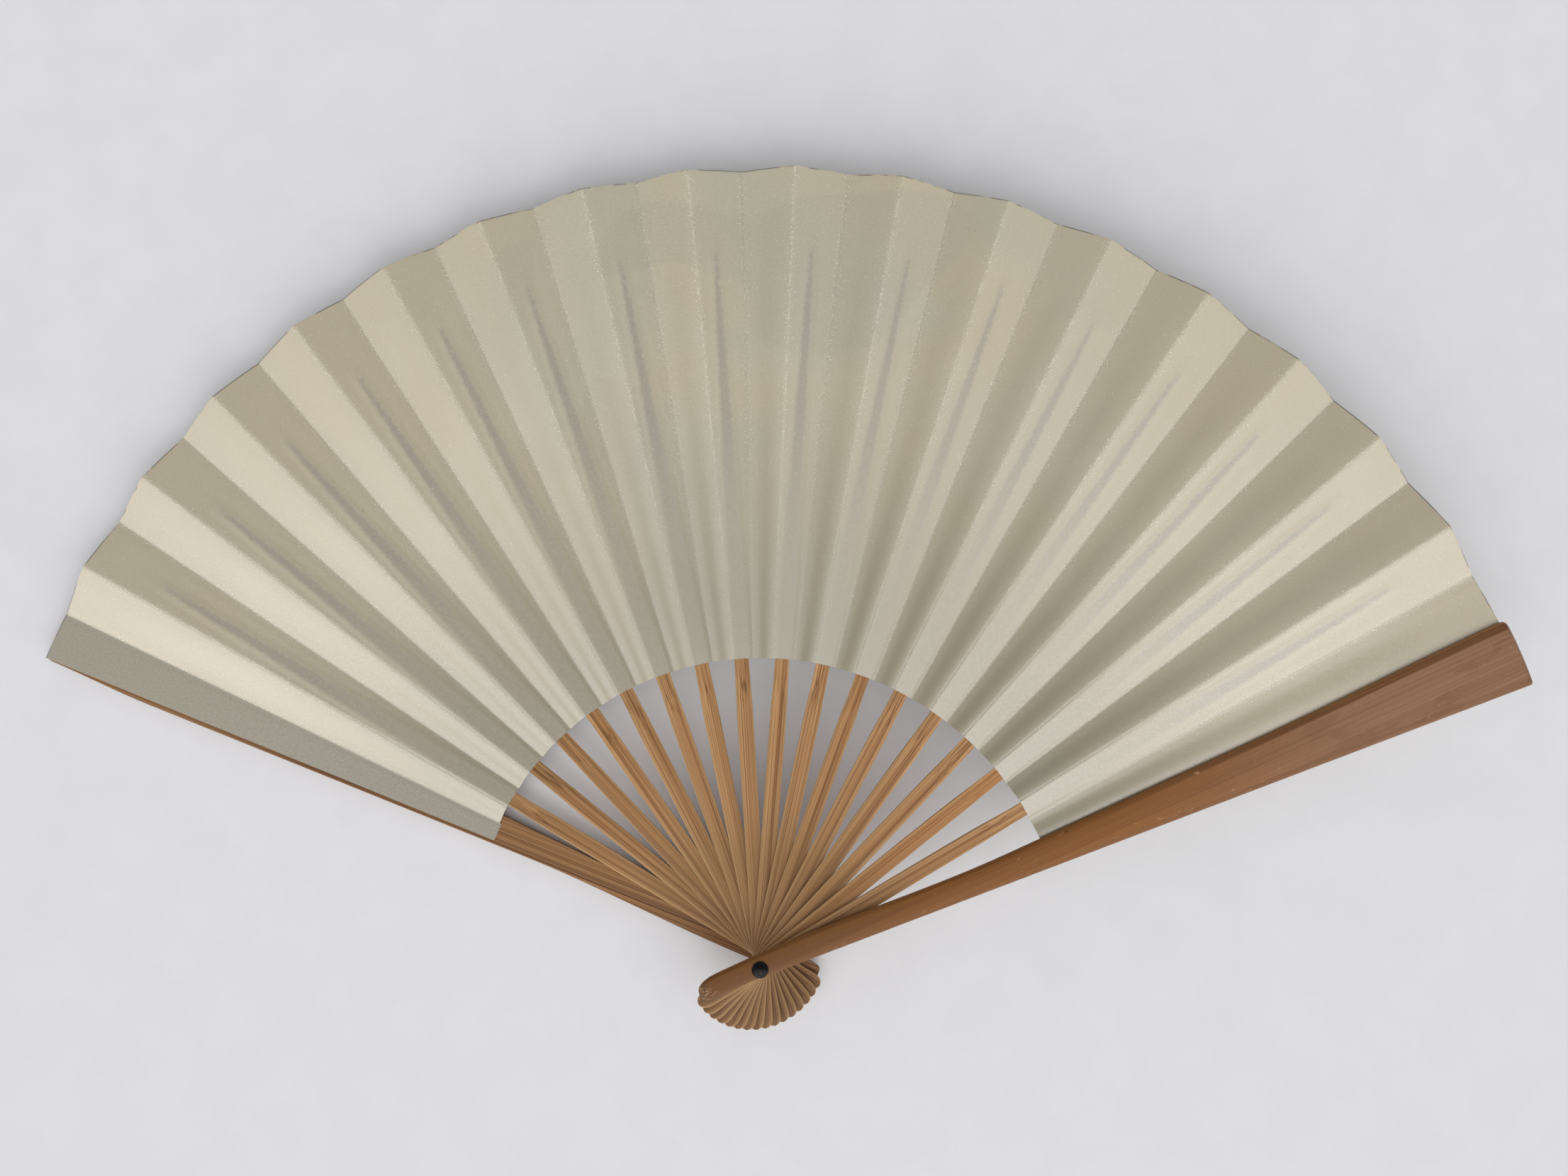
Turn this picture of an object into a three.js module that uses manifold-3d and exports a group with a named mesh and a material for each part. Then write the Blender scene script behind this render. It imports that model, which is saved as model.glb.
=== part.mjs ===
// A folding hand fan, lying open: bamboo sticks on one rivet, and a pleated paper leaf.
// The rivet's axis is Z, its rear head stands on z = 0, and the fan opens towards +Y.
// Stick 0 is the rear guard, sticks 1 to RIB_COUNT are the ribs, and the last is the front guard.
import * as THREE from "three";
import Module from "manifold-3d";
import { mergeVertices } from "three/addons/utils/BufferGeometryUtils.js";

const wasm = await Module();
wasm.setup();

const degrees = THREE.MathUtils.degToRad;

// The fold
const RIB_COUNT = 16;
const STICK_STEP = degrees(7.88); // turn from one stick to the next, with the fan open
const FIRST_VALLEY = degrees(154.5); // direction of the rear guard's valley crease
const PANEL_ANGLE = degrees(4.084); // true width of one paper panel
const PANEL_TILT = degrees(14.5); // slope of a rib's panel, with the fan open
const LAST = RIB_COUNT + 1;

// The stack, from the rivet's rear head up
const STICK_PITCH = 1.2;
const RIVET_HEAD_HEIGHT = 1.2;
const RIVET_HEAD_RADIUS = 2.1;
const RIVET_FLAT_RADIUS = 1.3;
const RIVET_RADIUS = 1;
const RIVET_PLAY = 0.09; // radial play of a stick on the rivet
const END_PLAY = 0.06; // play along the rivet, between a guard and a head
const FIRST_RIB_LIFT = 0.075; // clearance of the first rib over the rear guard's panel
const FRONT_CLEARANCE = 0.13; // clearance of the front guard's panel over a closing panel
const GUARD_THICKNESS = 2.2;

// The leaf
const LEAF_INNER_RADIUS = 78.2;
const LEAF_OUTER_RADIUS = 209;
const RIB_PANEL_THICKNESS = 0.25;
const FREE_PANEL_THICKNESS = 0.2;
const CREASE_GAP = 0.14; // from a crease to the edge of each panel that meets there
const GLUE_GAP = 0.025;
const REAR_PANEL_TRIM = degrees(0.55); // the rear guard's panel stops short of its edge
const LEAF_STEP = 0.6; // the rear guard's panel starts this much nearer the rivet

// The ribs
const RIB_TAIL = 18.2;
const RIB_TIP_INSET = 20.5; // from the leaf's outer edge to the rib's tip
const RIB_THICKNESS = 1.1;
const BLADE_THICKNESS = 0.4;
const RIB_HALF_WIDTH = 2.1;
const BLADE_HALF_WIDTH = 1.95;
const RIB_TIP_HALF_WIDTH = 0.4;
const RIB_MARGIN = 0.37; // from the mountain crease to the rib, at the leaf's inner edge
const BLADE_SCARF = 10; // length of the slope between a rib's neck and its blade
const BLADE_START_INSET = 2; // the slope ends this far short of the leaf
const RIB_END_ROUND = 1.5; // how far the rounding of a rib's lower end reaches

// The guards
const GUARD_TAIL = 16.6;
const GUARD_TIP_ROUND = 1.6;
const GUARD_EDGE_START = 2.25; // straight edge's distance from the guard's line, at the rivet
const GUARD_EDGE_SLOPE = 0.0659;
const GUARD_HALF_WIDTH = 3.45; // the other edge's distance from the line, at the rivet
const GUARD_WAIST_INSET = 10; // the waist ends this far short of the leaf
// overhang: how far the tip stands outside the leaf's outer edge
// margin, tipMargin: how far the second edge stands outside the guard's line, and at the tip
// flare: length over which the one margin becomes the other
const FRONT_OUTLINE = { overhang: 1.2, margin: 0.35, tipMargin: 1.7, flare: 75 };
const REAR_OUTLINE = { overhang: -0.1, margin: 0.75, tipMargin: -0.35, flare: 30 };
const GUARD_LINE_INSET = degrees(0.324); // from the mountain crease to the guard's line
const GUARD_END_ROUND = 4; // how far the rounding of a guard's lower end reaches
const GUARD_STEPS = 11;

const ROUND_SEGMENTS = 24;
const LEAF_ARC_STEPS = 3;
const FREE_PANEL_STEPS = 8;

const ribLength = LEAF_OUTER_RADIUS - RIB_TIP_INSET;
const ribOffset = PANEL_ANGLE - (BLADE_HALF_WIDTH + RIB_MARGIN) / LEAF_INNER_RADIUS;
const guardLine = PANEL_ANGLE - GUARD_LINE_INSET;
const rearGuardBase = RIVET_HEAD_HEIGHT + END_PLAY;
const rearGuardTop = rearGuardBase + GUARD_THICKNESS;
const rearPanelLevel = rearGuardTop + GLUE_GAP + RIB_PANEL_THICKNESS / 2;
const bladeTopBelowPanel = RIB_PANEL_THICKNESS / 2 + GLUE_GAP;
const ribBottomBelowPanel = bladeTopBelowPanel + BLADE_THICKNESS;
const firstRibLevel = rearPanelLevel + RIB_PANEL_THICKNESS / 2 + FIRST_RIB_LIFT + ribBottomBelowPanel;
// a closing panel's raised edge passes under the stick above, so the front guard is set higher
const closingRise = (LEAF_OUTER_RADIUS * PANEL_ANGLE ** 2 * PANEL_TILT) / (4 * STICK_STEP);

/** Height of a stick's panel, at its valley crease. */
function panelLevel(stick) {
  if (stick === 0) {
    return rearPanelLevel;
  }
  if (stick <= RIB_COUNT) {
    return firstRibLevel + STICK_PITCH * (stick - 1);
  }
  const lastRibLevel = firstRibLevel + STICK_PITCH * (RIB_COUNT - 1);
  return lastRibLevel + RIB_PANEL_THICKNESS + closingRise + FRONT_CLEARANCE;
}

const frontGuardBase = panelLevel(LAST) + RIB_PANEL_THICKNESS / 2 + GLUE_GAP;
const frontGuardTop = frontGuardBase + GUARD_THICKNESS;

/** Direction of a stick's valley crease in the open fan. */
function valley(stick) {
  return FIRST_VALLEY - STICK_STEP * stick;
}

const bamboo = new THREE.MeshStandardMaterial({ color: 0xb98a52, roughness: 0.55 });
const guardBamboo = new THREE.MeshStandardMaterial({ color: 0x8f5a34, roughness: 0.4 });
const paper = new THREE.MeshStandardMaterial({ color: 0xc3bc9c, roughness: 0.85 });
const blackPlastic = new THREE.MeshStandardMaterial({ color: 0x15161a, roughness: 0.2 });

const fan = new THREE.Group();

/** One closed body through sections with the same number of corners, anticlockwise seen from ahead. */
function loft(sections) {
  const corners = sections[0].length;
  const positions = sections.flat(2);
  const indices = [];
  for (let s = 0; s + 1 < sections.length; s += 1) {
    for (let c = 0; c < corners; c += 1) {
      const here = s * corners + c;
      const beside = s * corners + ((c + 1) % corners);
      indices.push(here, beside, beside + corners);
      indices.push(here, beside + corners, here + corners);
    }
  }
  const end = (sections.length - 1) * corners;
  for (let c = 1; c + 1 < corners; c += 1) {
    indices.push(0, c + 1, c);
    indices.push(end, end + c, end + c + 1);
  }
  const geometry = new THREE.BufferGeometry();
  geometry.setAttribute("position", new THREE.Float32BufferAttribute(positions, 3));
  geometry.setIndex(indices);
  return geometry;
}

function toSolid(geometry) {
  const bare = geometry.clone();
  bare.deleteAttribute("normal");
  bare.deleteAttribute("uv");
  const merged = mergeVertices(bare, 1e-5);
  return new wasm.Manifold(
    new wasm.Mesh({
      numProp: 3,
      vertProperties: new Float32Array(merged.attributes.position.array),
      triVerts: new Uint32Array(merged.index.array),
    }),
  );
}

function toGeometry(solid) {
  const mesh = solid.getMesh();
  const geometry = new THREE.BufferGeometry();
  geometry.setAttribute("position", new THREE.BufferAttribute(mesh.vertProperties, 3));
  geometry.setIndex(new THREE.BufferAttribute(mesh.triVerts, 1));
  return geometry;
}

/** Cuts the rivet's hole through a stick. */
function drill(geometry) {
  const holeRadius = (RIVET_RADIUS + RIVET_PLAY) / Math.cos(Math.PI / ROUND_SEGMENTS);
  const stack = frontGuardTop + RIVET_HEAD_HEIGHT;
  const bit = new THREE.CylinderGeometry(holeRadius, holeRadius, 3 * stack, ROUND_SEGMENTS);
  bit.rotateX(Math.PI / 2);
  return toGeometry(toSolid(geometry).subtract(toSolid(bit)));
}

function addPiece(name, geometry, material, turn = 0) {
  const mesh = new THREE.Mesh(geometry, material);
  mesh.name = name;
  mesh.rotation.z = turn;
  fan.add(mesh);
}

/** Two-figure number of a stick, for node names. */
function numbered(stem, number) {
  return `${stem}_${String(number).padStart(2, "0")}`;
}

function makeRivet() {
  const top = frontGuardTop + END_PLAY + RIVET_HEAD_HEIGHT;
  const headRim = RIVET_HEAD_HEIGHT * 0.6;
  const half = [
    [0, 0],
    [RIVET_FLAT_RADIUS, 0],
    [RIVET_HEAD_RADIUS, headRim],
    [RIVET_HEAD_RADIUS, RIVET_HEAD_HEIGHT],
    [RIVET_RADIUS, RIVET_HEAD_HEIGHT],
    [RIVET_RADIUS, top - RIVET_HEAD_HEIGHT],
    [RIVET_HEAD_RADIUS, top - RIVET_HEAD_HEIGHT],
    [RIVET_HEAD_RADIUS, top - headRim],
    [RIVET_FLAT_RADIUS, top - RIVET_HEAD_HEIGHT * 0.1],
    [0, top],
  ];
  const profile = half.map(([r, z]) => new THREE.Vector2(r, z));
  const geometry = new THREE.LatheGeometry(profile, ROUND_SEGMENTS);
  geometry.rotateX(Math.PI / 2);
  addPiece("rivet", toGeometry(toSolid(geometry)), blackPlastic);
}

/** A rib's cross-section: [half width, underside, top]; the top edges are eased. */
function ribSection(along, halfWidth, bottom, top) {
  const ease = Math.min(0.15, (top - bottom) / 4, halfWidth / 2);
  return [
    [along, -halfWidth, bottom],
    [along, halfWidth, bottom],
    [along, halfWidth, top - ease],
    [along, halfWidth - ease, top],
    [along, ease - halfWidth, top],
    [along, -halfWidth, top - ease],
  ];
}

function makeRib(stick) {
  const level = panelLevel(stick);
  const bottom = level - ribBottomBelowPanel;
  const neckTop = bottom + RIB_THICKNESS;
  const bladeTop = bottom + BLADE_THICKNESS;
  const bladeStart = LEAF_INNER_RADIUS - BLADE_START_INSET;
  const middle = (bladeStart + ribLength) / 2;
  const sections = [
    ribSection(-RIB_TAIL, RIB_HALF_WIDTH * 0.45, bottom, neckTop),
    ribSection(-RIB_TAIL + RIB_END_ROUND / 3, RIB_HALF_WIDTH * 0.8, bottom, neckTop),
    ribSection(-RIB_TAIL + RIB_END_ROUND, RIB_HALF_WIDTH, bottom, neckTop),
    ribSection(bladeStart - BLADE_SCARF, RIB_HALF_WIDTH, bottom, neckTop),
    ribSection(bladeStart, BLADE_HALF_WIDTH, bottom, bladeTop),
    ribSection(middle, BLADE_HALF_WIDTH * 0.85, bottom, bladeTop),
    ribSection(ribLength - 2, RIB_TIP_HALF_WIDTH * 1.6, bottom, bladeTop),
    ribSection(ribLength, RIB_TIP_HALF_WIDTH, bottom, bladeTop),
  ];
  const turn = valley(stick) + ribOffset;
  addPiece(numbered("rib", stick), drill(loft(sections)), bamboo, turn);
}

/** The two edges of a guard, as distances to each side of its line. */
function guardEdges(along, outline) {
  const tip = LEAF_OUTER_RADIUS + outline.overhang;
  const outside = -GUARD_EDGE_START - GUARD_EDGE_SLOPE * Math.max(along, -GUARD_END_ROUND);
  const waist = THREE.MathUtils.smoothstep(along, 0, LEAF_INNER_RADIUS - GUARD_WAIST_INSET);
  const flare = THREE.MathUtils.smoothstep(along, tip - outline.flare, tip);
  const inside = THREE.MathUtils.lerp(GUARD_HALF_WIDTH, outline.margin, waist);
  return [outside, inside + (outline.tipMargin - outline.margin) * flare];
}

/** A guard's cross-section, flat on the leaf's side and rounded on the other. */
function guardSection(along, outside, inside, base, face, onArc) {
  const width = inside - outside;
  const depth = face - base;
  const corners = [
    [outside, 0],
    [inside, 0],
    [inside, 0.6],
    [inside - 0.12 * width, 0.88],
    [inside - 0.3 * width, 1],
    [outside + 0.3 * width, 1],
    [outside + 0.12 * width, 0.88],
    [outside, 0.6],
  ];
  const placed = corners.map(([across, rise]) => [
    onArc ? Math.sqrt(along ** 2 - across ** 2) : along,
    across,
    base + rise * depth,
  ]);
  return depth > 0 ? placed : [placed[0], ...placed.slice(1).reverse()];
}

function makeGuard(name, stick, base, face, outline) {
  const tip = LEAF_OUTER_RADIUS + outline.overhang;
  const sections = [
    [0, 0.5],
    [0.12, 0.78],
    [0.4, 0.95],
    [1, 1],
  ].map(([step, share]) => {
    const along = -GUARD_TAIL + step * GUARD_END_ROUND;
    const [outside, inside] = guardEdges(along, outline);
    return guardSection(along, outside * share, inside * share, base, face, false);
  });
  const bladeEnd = tip - 2 * GUARD_TIP_ROUND;
  for (let i = 0; i <= GUARD_STEPS; i += 1) {
    const along = THREE.MathUtils.lerp(0, bladeEnd, i / GUARD_STEPS);
    const edges = guardEdges(along, outline);
    sections.push(guardSection(along, ...edges, base, face, i * 2 > GUARD_STEPS));
  }
  const [outside, inside] = guardEdges(tip, outline);
  sections.push(guardSection(tip - GUARD_TIP_ROUND, outside, inside, base, face, true));
  sections.push(guardSection(tip, outside, inside - GUARD_TIP_ROUND, base, face, true));
  addPiece(name, drill(loft(sections)), guardBamboo, valley(stick) + guardLine);
}

/** A flat paper panel: a sector between two creases, in its own plane. */
function panelGeometry(innerRadius, fromAngle, toAngle) {
  const shape = new THREE.Shape();
  const rim = (radius, share) => {
    const angle = THREE.MathUtils.lerp(fromAngle, toAngle, share);
    const inset = CREASE_GAP * (1 - 2 * share);
    return [
      radius * Math.cos(angle) - inset * Math.sin(angle),
      radius * Math.sin(angle) + inset * Math.cos(angle),
    ];
  };
  shape.moveTo(...rim(innerRadius, 0));
  for (let i = 0; i <= LEAF_ARC_STEPS; i += 1) {
    shape.lineTo(...rim(LEAF_OUTER_RADIUS, i / LEAF_ARC_STEPS));
  }
  for (let i = LEAF_ARC_STEPS; i > 0; i -= 1) {
    shape.lineTo(...rim(innerRadius, i / LEAF_ARC_STEPS));
  }
  const settings = { depth: RIB_PANEL_THICKNESS, bevelEnabled: false };
  return new THREE.ExtrudeGeometry(shape, settings).translate(0, 0, -RIB_PANEL_THICKNESS / 2);
}

/** The panel glued to a stick. It tilts about its valley crease, and lies flat on a guard. */
function makeStickPanel(stick) {
  const onGuard = stick === 0 || stick === LAST;
  const trim = stick === 0 ? REAR_PANEL_TRIM : 0;
  const inner = LEAF_INNER_RADIUS - (stick === 0 ? LEAF_STEP : 0);
  const width = stick === LAST ? guardLine : PANEL_ANGLE - trim;
  const geometry = toGeometry(toSolid(panelGeometry(inner, 0, width)));
  if (!onGuard) {
    geometry.rotateX(PANEL_TILT);
  }
  geometry.rotateZ(valley(stick));
  geometry.translate(0, 0, panelLevel(stick));
  addPiece(numbered("leaf_on_stick", stick), geometry, paper);
}

/** A point on the mountain crease of a stick's panel. */
function mountainPoint(stick, radius) {
  const onGuard = stick === 0 || stick === LAST;
  const tilt = onGuard ? 0 : PANEL_TILT;
  const width = stick === LAST ? guardLine : PANEL_ANGLE;
  return new THREE.Vector3(radius * Math.cos(width), radius * Math.sin(width), 0)
    .applyAxisAngle(new THREE.Vector3(1, 0, 0), tilt)
    .applyAxisAngle(new THREE.Vector3(0, 0, 1), valley(stick))
    .setZ(panelLevel(stick) + radius * Math.sin(width) * Math.sin(tilt));
}

function valleyPoint(stick, radius) {
  const angle = valley(stick);
  return new THREE.Vector3(radius * Math.cos(angle), radius * Math.sin(angle), panelLevel(stick));
}

/** The free panel between a stick's valley crease and the next stick's mountain crease. */
function makeFreePanel(stick) {
  const sections = [];
  for (let i = 0; i <= FREE_PANEL_STEPS; i += 1) {
    const radius = THREE.MathUtils.lerp(LEAF_INNER_RADIUS, LEAF_OUTER_RADIUS, i / FREE_PANEL_STEPS);
    const low = valleyPoint(stick, radius);
    const high = mountainPoint(stick + 1, radius);
    const across = high.clone().sub(low).normalize().multiplyScalar(CREASE_GAP);
    low.add(across);
    high.sub(across);
    const half = FREE_PANEL_THICKNESS / 2;
    sections.push([
      [high.x, high.y, high.z - half],
      [low.x, low.y, low.z - half],
      [low.x, low.y, low.z + half],
      [high.x, high.y, high.z + half],
    ]);
  }
  addPiece(numbered("leaf_fold", stick), toGeometry(toSolid(loft(sections))), paper);
}

makeRivet();
makeGuard("rear_guard", 0, rearGuardTop, rearGuardBase, REAR_OUTLINE);
makeGuard("front_guard", LAST, frontGuardBase, frontGuardTop, FRONT_OUTLINE);
for (let stick = 1; stick <= RIB_COUNT; stick += 1) {
  makeRib(stick);
}
for (let stick = 0; stick <= LAST; stick += 1) {
  makeStickPanel(stick);
}
for (let stick = 0; stick < LAST; stick += 1) {
  makeFreePanel(stick);
}

export default fan;
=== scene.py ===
"""The looks of the folding hand fan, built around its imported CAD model."""

import math

import bpy
from mathutils import Matrix, Vector, noise


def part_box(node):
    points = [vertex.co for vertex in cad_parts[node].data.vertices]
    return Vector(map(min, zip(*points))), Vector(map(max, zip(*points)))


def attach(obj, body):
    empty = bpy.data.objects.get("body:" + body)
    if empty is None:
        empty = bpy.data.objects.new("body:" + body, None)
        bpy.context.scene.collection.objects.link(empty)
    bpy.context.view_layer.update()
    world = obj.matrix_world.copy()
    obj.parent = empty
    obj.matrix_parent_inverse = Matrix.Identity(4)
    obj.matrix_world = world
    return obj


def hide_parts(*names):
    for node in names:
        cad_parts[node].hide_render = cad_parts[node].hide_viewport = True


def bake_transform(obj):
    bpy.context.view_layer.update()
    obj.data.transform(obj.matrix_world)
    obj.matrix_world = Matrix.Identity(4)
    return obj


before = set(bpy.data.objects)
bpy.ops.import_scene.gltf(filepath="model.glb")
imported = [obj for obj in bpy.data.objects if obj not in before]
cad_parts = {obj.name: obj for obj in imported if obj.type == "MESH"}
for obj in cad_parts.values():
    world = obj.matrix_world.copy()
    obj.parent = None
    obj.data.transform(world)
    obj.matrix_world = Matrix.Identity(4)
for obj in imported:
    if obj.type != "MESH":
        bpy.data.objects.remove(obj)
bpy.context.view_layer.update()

MM = 0.001  # sizes below are in millimetres, and meshes are written in metres

# The fold, as in the part
RIB_COUNT = 16
LAST = RIB_COUNT + 1
STICK_STEP = math.radians(7.88)
FIRST_VALLEY = math.radians(154.5)
PANEL_ANGLE = math.radians(4.084)
PANEL_TILT = math.radians(14.5)
GUARD_LINE = PANEL_ANGLE - math.radians(0.324)
REAR_PANEL_ANGLE = PANEL_ANGLE - math.radians(0.55)

# The leaf
LEAF_INNER_RADIUS = 78.2
LEAF_OUTER_RADIUS = 209.0
LEAF_STEP = 0.6
PLY = 0.085  # half the thickness of the glued leaf
GUARD_GLUE = 0.15  # from a guard's face to the middle of its panel
THINNED = 0.17  # share of a panel's width over which a face is thinned
BAND_EASE = 1.7  # how far the paper takes to come down beside a rib's blade
RIDGE_ROUND = 0.1  # how far a ridge is rounded down, and over what width
RIDGE_REACH = 0.65
GROOVE_ROUND = 0.06
GROOVE_REACH = 0.4
PANEL_WAVE = 0.24  # how far a free panel leaves its plane, in a soft S
PAPER_RIPPLE = 0.14
RIPPLE_LENGTH = 34.0
RIPPLE_SEEDS = 7.3  # from one panel's place in the noise to the next one's
FREE_SEED = 40  # the free panels' places start here
RIM_CALM = 40.0  # the paper is flatter over this length before the rim
RIM_CALMING = 0.75
FAR = 9.0  # the distance given where a panel has no crease or blade
PANEL_COLUMNS = 24
PANEL_ROWS = 36
FOLD_START = {0: -750.0, RIB_COUNT: -675.0}  # where a free panel's turn would start, along its crease; the script makes no turn
FOLD_START_BETWEEN = -525.0
FOLD_END = 216.0

# The ribs
RIB_TAIL = 18.2
RIB_LENGTH = 188.5
RIB_THICKNESS = 1.1
RIB_HALF_WIDTH = 2.1
RIB_MARGIN = 0.37
RIB_ROUND = 3.4  # length of the rounded lower end
RIB_END_WIDTH = 0.28
RIB_EASE = 0.26  # size of the eased edges
RIB_CROWN = 0.05
RIB_BOW = 0.12  # how far a neck wanders sideways
RIB_BOW_LENGTH = 60.0
BLADE_THICKNESS = 0.3
BLADE_HALF_WIDTH = 1.95
BLADE_START = 76.2
SCARF_START = 64.0
RIB_LINE = PANEL_ANGLE - (BLADE_HALF_WIDTH + RIB_MARGIN) / LEAF_INNER_RADIUS
TWIST_START = 26.0
TWIST_END = 77.0
BLADE_OUTLINE = (
    (BLADE_START, BLADE_HALF_WIDTH),
    (132.3, 1.66),
    (170.0, 1.05),
    (185.5, 0.62),
    (RIB_LENGTH, 0.3),
)
RIB_EDGE_MARKS = (1.0, 1.0, 0.5, 0.0, 0.0, 0.0, 0.5, 1.0, 1.0)  # 1 at a section's edges

# The guards
GUARD_TAIL = 16.6
GUARD_THICKNESS = 2.2
GUARD_HALF_WIDTH = 3.45
GUARD_EDGE_START = 2.25
GUARD_EDGE_SLOPE = 0.0659
GUARD_WAIST = 68.2
GUARD_REGULAR = 204.0  # its sections are evenly spaced up to here
GUARD_HEEL = 6.0  # length of the rounded lower end
GUARD_CORNER = 1.6  # radius of the tip's inner corner
GUARD_CHIPS = 0.5  # how deep the lower end is chipped, and over what length
GUARD_CHIPPED = 5.0
GUARD_INSET = 0.024  # share of the width by which the flat face is narrower
TIP_ARC = (120.0, GUARD_REGULAR)  # where the guard's sections turn into arcs about the rivet
# radius of the tip, the inner edge's margin over the guard's line, the same at the tip, and the
# length over which the one becomes the other
FRONT_OUTLINE = (210.2, 0.35, 1.7, 75.0)
REAR_OUTLINE = (208.9, 0.75, -0.35, 30.0)

# The rivet
RIVET_RADIUS = 1.0
RIVET_HEAD_RADIUS = 2.1
RIVET_HEAD_HEIGHT = 1.2
RIVET_REAR_FLAT = 1.1  # radius of the flat that the fan stands on
RIVET_SIDES = 56
RIVET_POLE = 0.03  # radius of the smallest ring, in the middle of a head

# The angles from which an edge is shown as sharp, in degrees
PAPER_SHARP = 50.0
RIB_SHARP = 40.0
GUARD_SHARP = 32.0
RIVET_SHARP = 38.0

# The camera, the light and the floor, in metres
CAMERA_PLACE = (0.0046, 0.0807, 0.3487)
CAMERA_TURN = (math.radians(2.73), math.radians(-0.25))
CAMERA_LENS = 29.13  # the lens and the sensor are in millimetres
SENSOR_WIDTH = 36.0
SKY_COLOUR = (0.985, 0.99, 1.0, 1.0)
BRIGHT_SIDE = (0.0, -0.9, 0.43)
SKY_EDGE = (0.15, 0.75)  # between these shares of the bright side the sky goes from dim to bright
DIM_SKY = 0.37
BRIGHT_SKY = 1.7
LAMP_PLACE = (0.12, -0.8, 1.05)
LAMP_AIM = (0.0, 0.1, 0.0)
LAMP_POWER = 1.2
LAMP_SIZE = 0.5
LAMP_COLOUR = (1.0, 0.99, 0.97)
FLOOR_HALF = 3.0


def smoothstep(value, low, high):
    share = min(max((value - low) / (high - low), 0.0), 1.0)
    return share * share * (3.0 - 2.0 * share)


def mix(low, high, share):
    return low + (high - low) * share


def along_outline(outline, value):
    """The height of a line through (place, height) points."""
    for (low, before), (high, after) in zip(outline, outline[1:]):
        if value <= high:
            return mix(before, after, min(max((value - low) / (high - low), 0.0), 1.0))
    return outline[-1][1]


def numbered(stem, number):
    return f"{stem}_{number:02d}"


# Shapes


def crossways(ring):
    """The across-pairs that close the end of a ring, point i of its top with the one under it."""
    count = len(ring)
    return [(i, i + 1, count - 2 - i, count - 1 - i) for i in range(count // 2 - 1)]


def loft(name, rings, marks, sharp_angle):
    """One closed mesh through rings of points in millimetres, each ring a top run and the run under it.
    marks holds named lists of vectors, one for each point, for the materials."""
    count = len(rings[0])
    points = [Vector(p) * MM for ring in rings for p in ring]
    faces = []
    for r in range(len(rings) - 1):
        for c in range(count):
            here = r * count + c
            beside = r * count + (c + 1) % count
            faces.append((here, beside, beside + count, here + count))
    end = (len(rings) - 1) * count
    for a, b, c, d in crossways(rings[0]):
        faces.append((d, c, b, a))
        faces.append((end + a, end + b, end + c, end + d))
    mesh = bpy.data.meshes.new(name)
    mesh.from_pydata(points, [], faces)
    for mark, values in marks.items():
        layer = mesh.attributes.new(mark, "FLOAT_VECTOR", "POINT")
        layer.data.foreach_set("vector", [x for value in values for x in value])
    mesh.validate()
    mesh.update()
    mesh.shade_smooth()
    mesh.set_sharp_from_angle(angle=math.radians(sharp_angle))
    piece = bpy.data.objects.new(name, mesh)
    bpy.context.scene.collection.objects.link(piece)
    return piece


def face_out(piece):
    """Turns the whole mesh's faces if they look inwards."""
    mesh = piece.data
    volume = 0.0
    for face in mesh.polygons:
        corners = [mesh.vertices[i].co for i in face.vertices]
        for b, c in zip(corners[1:], corners[2:]):
            volume += corners[0].dot(b.cross(c))
    if volume < 0:
        mesh.flip_normals()


# The frame of the fan


def valley(stick):
    return FIRST_VALLEY - STICK_STEP * stick


def panel_level(stick):
    """Height of a stick's valley crease, from its CAD node."""
    if stick in (0, LAST):
        low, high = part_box(numbered("leaf_on_stick", stick))
        return (low.z + high.z) / 2 / MM
    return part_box(numbered("rib", stick))[0].z / MM + RIB_THICKNESS / 2


LEVELS = [panel_level(stick) for stick in range(LAST + 1)]


def fan_point(stick, along, across, up, tilt=0.0):
    """A point given in a stick's frame: x along its valley crease, turned by tilt about that crease."""
    turned = Matrix.Rotation(tilt, 3, "X") @ Vector((along, across, up))
    point = Matrix.Rotation(valley(stick), 3, "Z") @ turned
    point.z += LEVELS[stick]
    return point


def fan_direction(stick, along, across, up, tilt=0.0):
    turned = Matrix.Rotation(tilt, 3, "X") @ Vector((along, across, up))
    return Matrix.Rotation(valley(stick), 3, "Z") @ turned


def crease_end(stick, length):
    """A point on a stick's valley crease, in metres."""
    return fan_point(stick, length, 0.0, 0.0) * MM


def stick_tilt(stick):
    return 0.0 if stick in (0, LAST) else PANEL_TILT


def stick_panel_angle(stick):
    if stick == 0:
        return REAR_PANEL_ANGLE
    return GUARD_LINE if stick == LAST else PANEL_ANGLE


def panel_point(stick, radius, angle):
    along = radius * math.cos(angle)
    across = radius * math.sin(angle)
    return fan_point(stick, along, across, 0.0, stick_tilt(stick))


def stick_normal(stick):
    return fan_direction(stick, 0.0, 0.0, 1.0, stick_tilt(stick))


def free_normal(stick, radius):
    """Upward normal of the free panel on the right of a stick, at one radius."""
    low = panel_point(stick, radius, 0.0)
    high = panel_point(stick + 1, radius, stick_panel_angle(stick + 1))
    along = (low + high) * 0.5
    along.z = 0.0
    normal = (low - high).cross(along)
    return normal.normalized() if normal.z > 0 else -normal.normalized()


def valley_normal(stick, radius):
    if stick == LAST:
        return stick_normal(stick)
    return (stick_normal(stick) + free_normal(stick, radius)).normalized()


def ridge_normal(stick, radius):
    if stick == 0:
        return stick_normal(stick)
    return (stick_normal(stick) + free_normal(stick - 1, radius)).normalized()


# The leaf


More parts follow.
